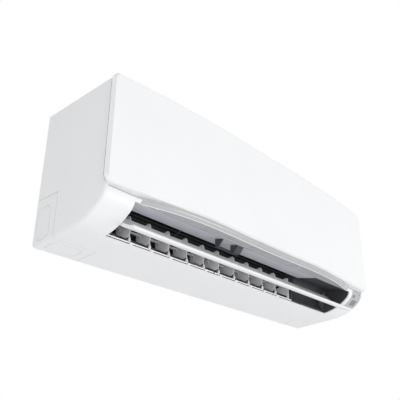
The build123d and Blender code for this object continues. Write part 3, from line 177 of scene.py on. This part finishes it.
def cooling_fins():
    """Stamped aluminium fins, drawn 3 mm apart so that they show; real ones stand 1.3 mm apart."""
    made, tree, place = blank("cooling_fins")
    across = add(tree, "SeparateXYZ", Vector=place).outputs["X"]
    wave = ridges(tree, across, drawn_pitch_mm)
    edge = add(tree, "Math", {"operation": "MULTIPLY"}, Value=wave)
    edge.inputs[1].default_value = 2.0
    height = edge.outputs["Value"]
    # painted shade: the colour is dark between the fins and light on their edges
    shader = add(
        tree, "BsdfPrincipled", Base_Color=between(tree, height, "#3A3E42", "#C9CDD1"),
        Metallic=0.8, Roughness=0.4, Normal=relief_of(tree, height, 0.8, 1.0),
    )
    finish_with(tree, shader)
    return made


def metal(name, low, high, roughness, streak_mm, relief_mm):
    """Sheet or drawn metal: streaks of its making vary the colour and the shine.

    Real streaks are well under 1 mm across; they are drawn coarser, so that they show.
    """
    made, tree, place = blank(name)
    stretch = add(tree, "Mapping", Vector=place, Scale=(0.08, 1.0, 1.0)).outputs["Vector"]
    scale = per_mm(streak_mm)
    streak = add(tree, "TexNoise", Vector=stretch, Scale=scale, Detail=3.0).outputs["Fac"]
    shader = add(
        tree, "BsdfPrincipled", Base_Color=between(tree, streak, low, high), Metallic=1.0,
        Roughness=shine_about(tree, streak, roughness, 0.08),
        Normal=relief_of(tree, streak, 0.4, relief_mm),
    )
    finish_with(tree, shader)
    return made


def galvanised_steel():
    """Zinc coated sheet: dull grey with a cloudy spangle."""
    return metal("galvanised_steel", "#8C9196", "#B7BBBF", 0.42, 12, 0.02)


def drawn_copper():
    """Bare copper tube: warm, with faint drawing lines and a little tarnish."""
    return metal("drawn_copper", "#B0653F", "#D98E66", 0.3, 4, 0.01)


def turned_brass():
    """Machined brass of the pipe unions: yellow, with fine tool lines."""
    return metal("turned_brass", "#B08A3E", "#D8B565", 0.28, 2, 0.02)


def plated_can():
    """Plated steel of the motor cans: grey with a soft shine."""
    return metal("plated_can", "#6F7377", "#9A9EA2", 0.35, 8, 0.02)


def zinc_screw():
    """Zinc plated steel of the screws and the shaft: bright and smooth."""
    return metal("zinc_screw", "#A9ADB0", "#D5D8DA", 0.25, 3, 0.01)


def black_rubber():
    """Moulded black rubber: nearly no shine, with a dusty bloom; on the strips behind the panel's
    ends it is painted shadow.
    """
    return moulded("black_rubber", "#161616", "#242424", 0.75, 2.0, 0.04)


def fan_plastic():
    """Glass filled dark grey plastic of the fan: matt, with a speckle of fibre."""
    return moulded("fan_plastic", "#26282B", "#35383B", 0.55, 1.5, 0.04)


def solder_mask():
    """Green lacquer over copper tracks: glossy with darker and lighter tracks."""
    return moulded("solder_mask", "#0E3A20", "#1F6B3B", 0.3, 5.0, 0.05)


def display_grey_and_nose_shade():
    """Light grey moulding of the display window: smooth, with a glassy coat; on the strips under
    the nose the same grey is painted shade.
    """
    return moulded("display_grey_and_nose_shade", "#ABACAE", "#B4B5B7", 0.28, 8.0, 0.005, coat=0.5)


def smoked_lens():
    """Smoke tinted acrylic over the signal receiver: mid grey and glossy."""
    return moulded("smoked_lens", "#6E7073", "#797B7E", 0.2, 8.0, 0.004, coat=1.0)


def lamp_caps():
    """Small clear lamp caps over coloured lamps: yellow, green, cyan and an unlit one."""
    made, tree, place = blank("lamp_caps")
    low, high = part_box("status_lamps")
    across = add(tree, "SeparateXYZ", Vector=place).outputs["X"]
    along = add(tree, "MapRange", Value=across, From_Min=low[0], From_Max=high[0])
    ramp = add(tree, "ValToRGB", Fac=along.outputs["Result"])
    caps = ramp.color_ramp
    caps.interpolation = "CONSTANT"
    caps.elements[0].color = linear("#D8C95A")
    caps.elements[1].color = linear("#4A5058")
    caps.elements[1].position = 0.77
    for position, colour in ((0.27, "#8FC06A"), (0.52, "#6FC3C4")):
        caps.elements.new(position).color = linear(colour)
    cloud = add(tree, "TexNoise", Vector=place, Scale=per_mm(3)).outputs["Fac"]
    shader = add(
        tree, "BsdfPrincipled", Base_Color=ramp.outputs["Color"], Roughness=0.15,
        IOR=1.49, Coat_Weight=1.0, Normal=relief_of(tree, cloud, 0.3, 0.02),
    )
    finish_with(tree, shader)
    return made


def filter_weave():
    """Woven mesh of the dust filters, drawn 3 mm apart to show; real threads stand 1 mm apart."""
    made, tree, place = blank("filter_weave")
    parts = add(tree, "SeparateXYZ", Vector=place)
    upright = ridges(tree, parts.outputs["X"], drawn_pitch_mm)
    level = ridges(tree, parts.outputs["Z"], drawn_pitch_mm)
    threads = add(tree, "Math", {"operation": "MAXIMUM"}, Value=upright)
    tree.links.new(level, threads.inputs[1])
    height = threads.outputs["Value"]
    # painted shade: the colour is dark in the openings between the threads and light on the
    # threads
    shader = add(
        tree, "BsdfPrincipled", Base_Color=between(tree, height, "#5F6D78", "#B4C0C9"),
        Roughness=0.6, Normal=relief_of(tree, height, 0.5, 0.4),
    )
    finish_with(tree, shader)
    return made


finishes = {
    "casing_white": casing_abs_and_bevel_shade(),
    "panel_white": panel_abs(),
    "chassis_charcoal": charcoal_abs_and_gap_shadow(),
    "duct_grey": duct_abs(),
    "vane_white": vane_pp(),
    "fin_aluminium": cooling_fins(),
    "galvanised_steel": galvanised_steel(),
    "copper_tube": drawn_copper(),
    "brass_fitting": turned_brass(),
    "motor_case": plated_can(),
    "black_rubber": black_rubber(),
    "fan_grey": fan_plastic(),
    "board_green": solder_mask(),
    "display_grey": display_grey_and_nose_shade(),
    "lens_smoke": smoked_lens(),
    "lamp_clear": lamp_caps(),
    "filter_plastic": filter_weave(),
    "screw_steel": zinc_screw(),
}

for part in record["subparts"]:
    piece = nodes[part["node"]]
    piece.data.materials.clear()
    piece.data.materials.append(finishes[part["material_slot"]])


# -------------------------------------------------------------------- photo's view
# fitted to the unit's corners: place in metres, angles in radians, the rest in pixels
camera_place = Vector((-1.00398, -0.95425, -0.54305))
camera_azimuth = 0.820884217
camera_elevation = 0.440067250
camera_roll = 0.00969912764
focal_pixels = 586.65
frame_pixels = 400


def camera_axes():
    """The camera's right, up and forward directions."""
    flat = math.cos(camera_elevation)
    turn_sine, turn_cosine = math.sin(camera_azimuth), math.cos(camera_azimuth)
    ahead = Vector((turn_sine * flat, turn_cosine * flat, math.sin(camera_elevation)))
    right = Vector((turn_cosine, -turn_sine, 0))
    up = right.cross(ahead)
    side = math.cos(camera_roll) * right + math.sin(camera_roll) * up
    top = -math.sin(camera_roll) * right + math.cos(camera_roll) * up
    return side, top, ahead


def seen_at(skin_tree, across, down):
    """The point and the normal of a surface where the photograph's frame shows it."""
    side, top, ahead = camera_axes()
    half = frame_pixels / 2
    way = ahead * focal_pixels + side * (across - half) + top * (half - down)
    return skin_tree.ray_cast(camera_place, way.normalized())[:2]


# ---------------------------------------------------------------------- fine pieces
# edges that turn by less than this are shaded smooth
smooth_below = math.radians(35)
along_y = Vector((0, 1, 0))
straight_down = Vector((0, 0, -1))


def surface(node):
    """A node's surface, ready for rays."""
    mesh = nodes[node].data
    points = [v.co for v in mesh.vertices]
    return BVHTree.FromPolygons(points, [f.vertices[:] for f in mesh.polygons])


def place_piece(name, shape, body, slot):
    """Put a shape in the scene: smooth but for its real edges, on its body, in its finish."""
    mesh = bpy.data.meshes.new(name)
    bmesh.ops.recalc_face_normals(shape, faces=shape.faces)
    shape.to_mesh(mesh)
    shape.free()
    mesh.shade_smooth()
    mesh.set_sharp_from_angle(angle=smooth_below)
    mesh.materials.append(finishes[slot])
    piece = bpy.data.objects.new(name, mesh)
    bpy.context.scene.collection.objects.link(piece)
    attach(piece, body)
    return piece


def skin(shape, rows):
    """Join rings of points into a closed skin, with a cap at each end."""
    made = [[shape.verts.new(point) for point in row] for row in rows]
    for one, other in zip(made, made[1:]):
        count = len(one)
        for i in range(count):
            j = (i + 1) % count
            shape.faces.new((one[i], one[j], other[j], other[i]))
    shape.faces.new(reversed(made[0]))
    shape.faces.new(made[-1])


def skinned(rows):
    """A new shape that is one closed skin."""
    shape = bmesh.new()
    skin(shape, rows)
    return shape


def steps(low, high, count):
    """Evenly spaced values from low to high, both included."""
    return [low + (high - low) * i / (count - 1) for i in range(count)]


# nose shade: thin light grey strips round the underside of the nose, with creases between them,
# painted shade on the white casing;
# each strip stands a little proud of the casing and is sunk into it, so that no gap shows
shade_strip_proud = 0.5 * MM
shade_strip_sunk = 0.3 * MM
nose_shade_reach = 444 * MM
nose_shade_top = -84.0 * MM
nose_shade_end_height = -86.6 * MM
outlet_reach = 369 * MM
nose_bottom = -94.2 * MM
ledge_height = -95 * MM
ledge_lip = -213.0 * MM
ledge_crease = -219.5 * MM
crease_width = 1.2 * MM
nose_chamfer = 7.0 * MM
nose_middle = -87.5 * MM
before_unit = -400 * MM


def painted_shade_strip(name, x_values, section):
    """A strip that follows a surface: section gives the points across it and which way is out."""
    rows = []
    for x in x_values:
        line = section(x)
        if line:
            points = [(x, y, z) for y, z, _ in line]
            outs = [Vector((0, *out)) for _, _, out in line]
            over = [Vector(p) + o * shade_strip_proud for p, o in zip(points, outs)]
            under = [Vector(p) - o * shade_strip_sunk for p, o in zip(points, outs)]
            rows.append(over + under[::-1])
    # painted shade: the light grey finish darkens the white casing under the nose
    place_piece(name, skinned(rows), "unit", "display_grey")


def nose_section(x):
    """The front of the nose from just under the panel to where its chamfer ends."""
    low = nose_bottom if abs(x) < outlet_reach else nose_shade_end_height
    line = []
    for z in steps(nose_shade_top, low, 6):
        hit, normal = casing_skin.ray_cast(Vector((x, before_unit, z)), along_y)[:2]
        if hit is None:
            return None
        line.append((hit.y, z, (normal.y, normal.z)))
    return line


def ledge_section(outer, inner):
    """The flat under the nose, from the chamfer or a depth behind it back to another depth."""
    def section(x):
        hit = casing_skin.ray_cast(Vector((x, before_unit, nose_middle)), along_y)[0]
        front = hit.y + nose_chamfer if outer is None else max(hit.y + nose_chamfer, outer)
        if inner - front < crease_width:
            return None
        return [(y, ledge_height, (0, -1)) for y in (front, (front + inner) / 2, inner)]
    return section


casing_skin = surface("front_casing")
painted_shade_strip("nose_painted_shade", steps(-nose_shade_reach, nose_shade_reach, 149), nose_section)
ledge_x = steps(-outlet_reach, outlet_reach, 121)
painted_shade_strip("ledge_painted_shade_outer", ledge_x, ledge_section(None, ledge_crease))
painted_shade_strip("ledge_painted_shade_inner", ledge_x, ledge_section(ledge_crease + crease_width, ledge_lip))


# vanes: thin moulded blades with rounded edges, each on a turned foot; outlines are in
# millimetres, by depth from the wall and height above the unit's underside
vane_half = 0.35 * MM
vane_round = 0.45 * MM
vane_axis = -122.5 * MM
link_axis = -92 * MM
underside = -150 * MM
vane_outline = (
    (113, 29.5), (121, 33), (125, 46), (125, 62), (122, 77), (112, 76.5), (96, 73),
    (82, 71.5), (79.8, 60), (79.8, 50), (82, 44.5), (96, 39), (106, 33),
)
vane_window = ((85.2, 53.4), (96.6, 53.4), (96.6, 58.6), (85.2, 58.6))
# turned forms: radius, then height
foot_profile = (
    (0.4, 19.9), (1.9, 20.0), (1.9, 23.3), (3.0, 23.3), (3.0, 25.5), (1.4, 29.5), (0.6, 35),
)
link_pin_profile = ((1.45, 52.2), (1.45, 59.8))
turned_sides = 12
weld_distance = 0.02 * MM
# the first vane of each bank
bank_starts = (1, 6)


def outline_spline(curve, points):
    """A closed smooth spline of the outline's control points, in metres."""
    spline = curve.splines.new("NURBS")
    spline.points.add(len(points) - 1)
    for point, (depth, height) in zip(spline.points, points):
        point.co = (depth * MM, height * MM, 0, 1)
    spline.use_cyclic_u = True
    spline.order_u = 3
    spline.resolution_u = 5


def flat_blade(name, points, hole):
    """A flat moulding of an outline with a hole, its edges rounded, lying in x and y."""
    curve = bpy.data.curves.new(name, "CURVE")
    curve.dimensions = "2D"
    curve.fill_mode = "BOTH"
    curve.extrude = vane_half
    curve.bevel_depth = vane_round
    curve.bevel_resolution = 2
    curve.offset = -vane_round
    outline_spline(curve, points)
    outline_spline(curve, hole)
    holder = bpy.data.objects.new(name, curve)
    mesh = bpy.data.meshes.new_from_object(holder)
    bpy.data.objects.remove(holder)
    bpy.data.curves.remove(curve)
    return mesh


def turned(shape, profile, x, y):
    """A turned form about an upright axis."""
    rows = []
    for radius, height in profile:
        ring = []
        for i in range(turned_sides):
            angle = 2 * math.pi * i / turned_sides
            along, out = radius * MM * math.cos(angle), radius * MM * math.sin(angle)
            ring.append((x + along, y + out, underside + height * MM))
        rows.append(ring)
    skin(shape, rows)


def vane_blade(number, x):
    """One vane: blade, foot and link pin."""
    node = f"vane_{number}"
    mesh = flat_blade(node + "_blade", vane_outline, vane_window)
    # depth from the wall goes to -y, height to z, and thickness to x
    upright = Matrix(((0, 0, 1, x), (-1, 0, 0, 0), (0, 1, 0, underside), (0, 0, 0, 1)))
    mesh.transform(upright)
    shape = bmesh.new()
    shape.from_mesh(mesh)
    bpy.data.meshes.remove(mesh)
    bmesh.ops.remove_doubles(shape, verts=shape.verts, dist=weld_distance)
    turned(shape, foot_profile, x, vane_axis)
    turned(shape, link_pin_profile, x, link_axis)
    piece = place_piece(node + "_blade", shape, node, "vane_white")
    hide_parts(node)


vane_x = {}
for number in range(1, 11):
    low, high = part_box(f"vane_{number}")
    vane_x[number] = (low.x + high.x) / 2
    vane_blade(number, vane_x[number])


# receiver window: a smoked patch on the display cover, below the lamps; its corners are
# in pixels of the photograph's frame
receiver_corners = ((352.6, 300.0), (356.6, 301.6), (352.9, 306.6), (348.6, 304.9))
receiver_grid = 9
receiver_proud = 0.35 * MM
receiver_sunk = 0.3 * MM


def receiver_window():
    """A smoked window that lies on the curved cover, laid out by its four corners."""
    cover = surface("display_cover")
    points, outs = [], []
    upper_left, upper_right, lower_right, lower_left = (Vector(c) for c in receiver_corners)
    for v in steps(0, 1, receiver_grid):
        for u in steps(0, 1, receiver_grid):
            corner = upper_left.lerp(upper_right, u).lerp(lower_left.lerp(lower_right, u), v)
            hit, normal = seen_at(cover, corner.x, corner.y)
            points.append(hit)
            outs.append(normal)
    shape = bmesh.new()
    low = [shape.verts.new(p - o * receiver_sunk) for p, o in zip(points, outs)]
    high = [shape.verts.new(p + o * receiver_proud) for p, o in zip(points, outs)]
    last = receiver_grid - 1
    for row in range(last):
        for column in range(last):
            i = row * receiver_grid + column
            around = (i, i + 1, i + receiver_grid + 1, i + receiver_grid)
            shape.faces.new([high[k] for k in around])
            shape.faces.new([low[k] for k in reversed(around)])
    rim = list(range(receiver_grid))
    rim += [row * receiver_grid + last for row in range(1, receiver_grid)]
    rim += [last * receiver_grid + column for column in range(last - 1, -1, -1)]
    rim += [row * receiver_grid for row in range(last - 1, 0, -1)]
    for i, j in zip(rim, rim[1:] + rim[:1]):
        shape.faces.new((high[i], low[i], low[j], high[j]))
    place_piece("receiver_window", shape, "unit", "lens_smoke")


receiver_window()


# panel rim: a thin satin film a little greyer than the panel, on the panel's bevel, the faces that
# lean back from its front; the grey is painted shade
rim_proud = 0.08 * MM
rim_thick = 0.06 * MM
rim_lean = (-0.9, -0.4)
rim_rear = -200 * MM
rim_weld = 0.01 * MM


def on_bevel(face):
    """Whether a face of the panel belongs to its front bevel."""
    return rim_lean[0] < face.normal.y < rim_lean[1] and face.calc_center_median().y < rim_rear


def panel_bevel_shade():
    """The bevel of the panel, picked out by a thin satin film whose greyer colour is painted
    shade.
    """
    shape = bmesh.new()
    shape.from_mesh(nodes["front_panel"].data)
    others = [face for face in shape.faces if not on_bevel(face)]
    bmesh.ops.delete(shape, geom=others, context="FACES")
    bmesh.ops.remove_doubles(shape, verts=shape.verts, dist=rim_weld)
    shape.normal_update()
    low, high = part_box("front_panel")
    for vert in shape.verts:
        vert.co += vert.normal * rim_proud
        vert.co.x = min(max(vert.co.x, low.x), high.x)
        vert.co.y = max(vert.co.y, low.y)
    bmesh.ops.solidify(shape, geom=shape.faces[:], thickness=rim_thick)
    # painted shade: the casing's greyer finish darkens the panel's bevel
    place_piece("panel_bevel_shade", shape, "front_panel", "casing_white")


panel_bevel_shade()


# painted shadow: dark strips behind the panel's ends, which paint the shadow of the gap between
# panel and casing and show as thin lines beside the casing
panel_half_length = 457 * MM
panel_low = -82 * MM
panel_high = 149 * MM
panel_corner = 14 * MM
panel_shadow_front = -216.2 * MM
panel_shadow_rear = -214.6 * MM
panel_shadow_inset = 0.1 * MM
panel_shadow_depth = 2.5 * MM
panel_shadow_turn = math.radians(55)
# depth, and how far in from the panel's edge
panel_shadow_section = (
    (panel_shadow_rear, panel_shadow_inset), (panel_shadow_front, panel_shadow_inset),
    (panel_shadow_front, panel_shadow_depth), (panel_shadow_rear, panel_shadow_depth),
)


def panel_gap_shadow(name, side):
    """A dark strip of painted shadow behind one end of the panel, from its top part of the way
    round its corner.
    """
    corner_x, corner_z = panel_half_length - panel_corner, panel_low + panel_corner
    path = [(panel_half_length, panel_high - panel_corner, 1, 0)]
    for angle in steps(0, panel_shadow_turn, 7):
        out, up = math.cos(angle), -math.sin(angle)
        path.append((corner_x + panel_corner * out, corner_z + panel_corner * up, out, up))
    rows = []
    for x, z, out, up in path:
        rows.append([(side * (x - inset * out), y, z - inset * up) for y, inset in panel_shadow_section])
    # painted shadow: the black finish darkens the gap beside the panel
    place_piece(name, skinned(rows), "front_panel", "black_rubber")


panel_gap_shadow("panel_seal_left", -1)
panel_gap_shadow("panel_seal_right", 1)


# painted shadow: dark strips on the base, which paint the shadow in the gap between each pair of
# feet
gap_shadow_front = -122.6 * MM
gap_shadow_rear = -74 * MM
gap_shadow_side = 4.4 * MM
gap_shadow_above = -100 * MM


def vane_gap_shadow(name, base_skin, x0, x1):
    """A dark strip on the base between two vanes: painted shadow of the gap."""
    rows = []
    for x in steps(x0 + gap_shadow_side, x1 - gap_shadow_side, 4):
        over, under = [], []
        for y in steps(gap_shadow_front, gap_shadow_rear, 11):
            hit, normal = base_skin.ray_cast(Vector((x, y, gap_shadow_above)), straight_down)[:2]
            over.append(hit + normal * shade_strip_proud)
            under.append(hit - normal * shade_strip_sunk)
        rows.append(over + under[::-1])
    # painted shadow: the charcoal finish darkens the base between the feet
    place_piece(name, skinned(rows), "unit", "chassis_charcoal")


base_skins = [surface("vane_base_left"), surface("vane_base_right")]
vane_pitch = vane_x[2] - vane_x[1]
for number, x in vane_x.items():
    if number not in bank_starts:
        vane_gap_shadow(f"vane_gap_shadow_{number}", base_skins[number > bank_starts[1]], x - vane_pitch, x)


# -------------------------------------------------------------------- stage, light
floor_size = 16.0
floor_centre = (0, -1.0, -2.3)
box_size = 1.4
box_target = Vector((0, -0.1, -0.05))
# soft boxes: place in metres, power in watts
soft_boxes = {
    "key_box": ((1.5, -2.6, -1.1), 26),
    "left_box": ((-2.2, -2.2, -1.0), 24),
}
# the way the camera looks; the room goes from dim behind it to bright ahead of it, between
# two values of how far a direction agrees with that way
room_ahead = (0.66, 0.62, 0.42)
room_dim, room_bright = 0.54, 1.0
room_dim_at, room_bright_at = -0.8, 0.75
floor_cloud_mm = 2500


def floor():
    """A large plain sheet, well below the unit."""
    bpy.ops.mesh.primitive_plane_add(size=floor_size, location=floor_centre)
    sheet = bpy.context.object
    sheet.name = "floor"
    made, tree, place = blank("floor_paint")
    cloud = add(tree, "TexNoise", Vector=place, Scale=per_mm(floor_cloud_mm)).outputs["Fac"]
    paint = between(tree, cloud, "#E2E2E2", "#F6F6F6")
    finish_with(tree, add(tree, "BsdfPrincipled", Base_Color=paint, Roughness=0.9))
    sheet.data.materials.append(made)


def soft_light(name, place, power):
    """A square soft box that faces the unit."""
    lamp = bpy.data.lights.new(name, "AREA")
    lamp.size = box_size
    lamp.energy = power
    holder = bpy.data.objects.new(name, lamp)
    bpy.context.scene.collection.objects.link(holder)
    holder.location = place
    holder.rotation_euler = (box_target - Vector(place)).to_track_quat("-Z", "Y").to_euler()
    holder.visible_camera = False


def surround():
    """The room's own light: white behind the unit as the camera sees it, dimmer all round."""
    world = bpy.data.worlds.new("surround")
    bpy.context.scene.world = world
    world.use_nodes = True
    tree = world.node_tree
    tree.nodes.clear()
    way = add(tree, "TexCoord").outputs["Generated"]
    facing = add(tree, "VectorMath", {"operation": "DOT_PRODUCT"}, Vector=way)
    facing.inputs[1].default_value = room_ahead
    strength = add(
        tree, "MapRange", Value=facing.outputs["Value"],
        From_Min=room_dim_at, From_Max=room_bright_at, To_Min=room_dim, To_Max=room_bright,
    ).outputs["Result"]
    back = add(tree, "Background", Color=(1.0, 1.0, 1.0, 1.0), Strength=strength)
    add(tree, "OutputWorld", Surface=back.outputs["Background"])


def studio():
    """The floor, the white surround and two soft boxes in front."""
    floor()
    surround()
    for name, (place, power) in soft_boxes.items():
        soft_light(name, place, power)
    bpy.context.scene.view_settings.view_transform = "Standard"


studio()


# -------------------------------------------------------------------------- camera
def photo_camera():
    """The camera at the photograph's place: below the unit and off its left end."""
    lens = bpy.data.cameras.new("photo_camera")
    lens.sensor_width = 36
    lens.lens = focal_pixels / frame_pixels * lens.sensor_width
    lens.dof.use_dof = False
    holder = bpy.data.objects.new("photo_camera", lens)
    bpy.context.scene.collection.objects.link(holder)
    side, top, ahead = camera_axes()
    turn = Matrix((side, top, -ahead)).transposed().to_4x4()
    holder.matrix_world = Matrix.Translation(camera_place) @ turn
    bpy.context.scene.camera = holder


photo_camera()
